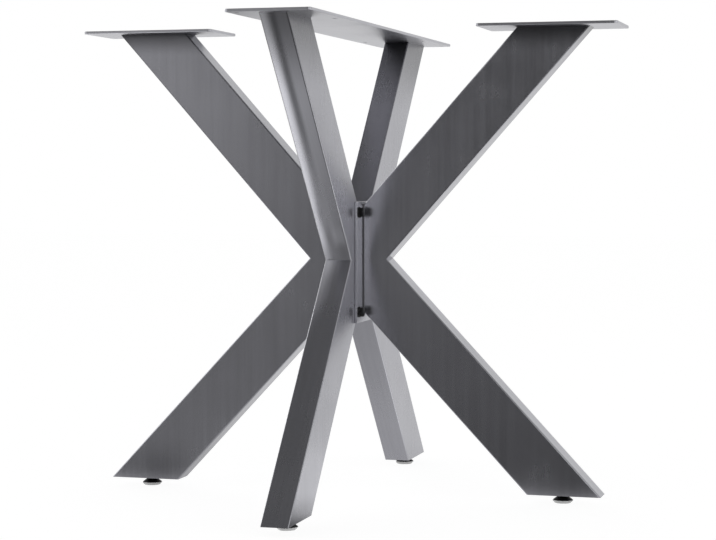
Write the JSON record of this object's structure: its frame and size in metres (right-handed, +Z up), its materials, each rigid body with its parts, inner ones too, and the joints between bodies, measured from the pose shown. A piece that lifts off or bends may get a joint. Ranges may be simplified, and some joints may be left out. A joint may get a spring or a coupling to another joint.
{
  "type": "table base",
  "caption": "Table base of brushed dark-grey rectangular steel tube: chevron legs meet at a bolted waist under flat screw plates and stand on levelling feet.",
  "frame": {"origin": "on the floor under the middle of the base", "axes": "+Z up; +Y from the front leg to the back leg, along the long top plate; +X from the left leg to the right leg"},
  "size_m": [0.8168, 0.8, 0.7],
  "materials": {
    "leg_tube": "brushed, dark grey, clear lacquered",
    "top_plate": "brushed, grey, clear lacquered",
    "flange": "brushed, grey, clear lacquered",
    "seam_weld": "dark, matt, as welded",
    "black_fastener": "black oxide, satin",
    "end_plate": "dark grey, plain",
    "foot_pad": "bright nickel plated",
    "foot_stud": "zinc plated thread"
  },
  "bodies": {
    "frame": {"front_upper_tube": "leg_tube", "front_lower_tube": "leg_tube", "back_upper_tube": "leg_tube", "back_lower_tube": "leg_tube", "left_upper_tube": "leg_tube", "left_lower_tube": "leg_tube", "right_upper_tube": "leg_tube", "right_lower_tube": "leg_tube", "centre_top_plate": "top_plate", "left_top_plate": "top_plate", "right_top_plate": "top_plate", "left_flange": "flange", "right_flange": "flange", "left_seam_weld": "seam_weld", "right_seam_weld": "seam_weld", "joint_bolts": "black_fastener", "joint_washers": "black_fastener", "joint_nuts": "black_fastener", "front_end_plate": "end_plate", "back_end_plate": "end_plate", "left_end_plate": "end_plate", "right_end_plate": "end_plate"},
    "front_foot": {"front_pad": "foot_pad", "front_stud": "foot_stud"},
    "back_foot": {"back_pad": "foot_pad", "back_stud": "foot_stud"},
    "left_foot": {"left_pad": "foot_pad", "left_stud": "foot_stud"},
    "right_foot": {"right_pad": "foot_pad", "right_stud": "foot_stud"}
  },
  "joints": [
    {"name": "front_foot_screw", "type": "slide", "parent": "frame", "child": "front_foot", "axis": [0, 0, -1], "range_m": [0, 0.01]},
    {"name": "back_foot_screw", "type": "slide", "parent": "frame", "child": "back_foot", "axis": [0, 0, -1], "range_m": [0, 0.01]},
    {"name": "left_foot_screw", "type": "slide", "parent": "frame", "child": "left_foot", "axis": [0, 0, -1], "range_m": [0, 0.01]},
    {"name": "right_foot_screw", "type": "slide", "parent": "frame", "child": "right_foot", "axis": [0, 0, -1], "range_m": [0, 0.01]}
  ]
}
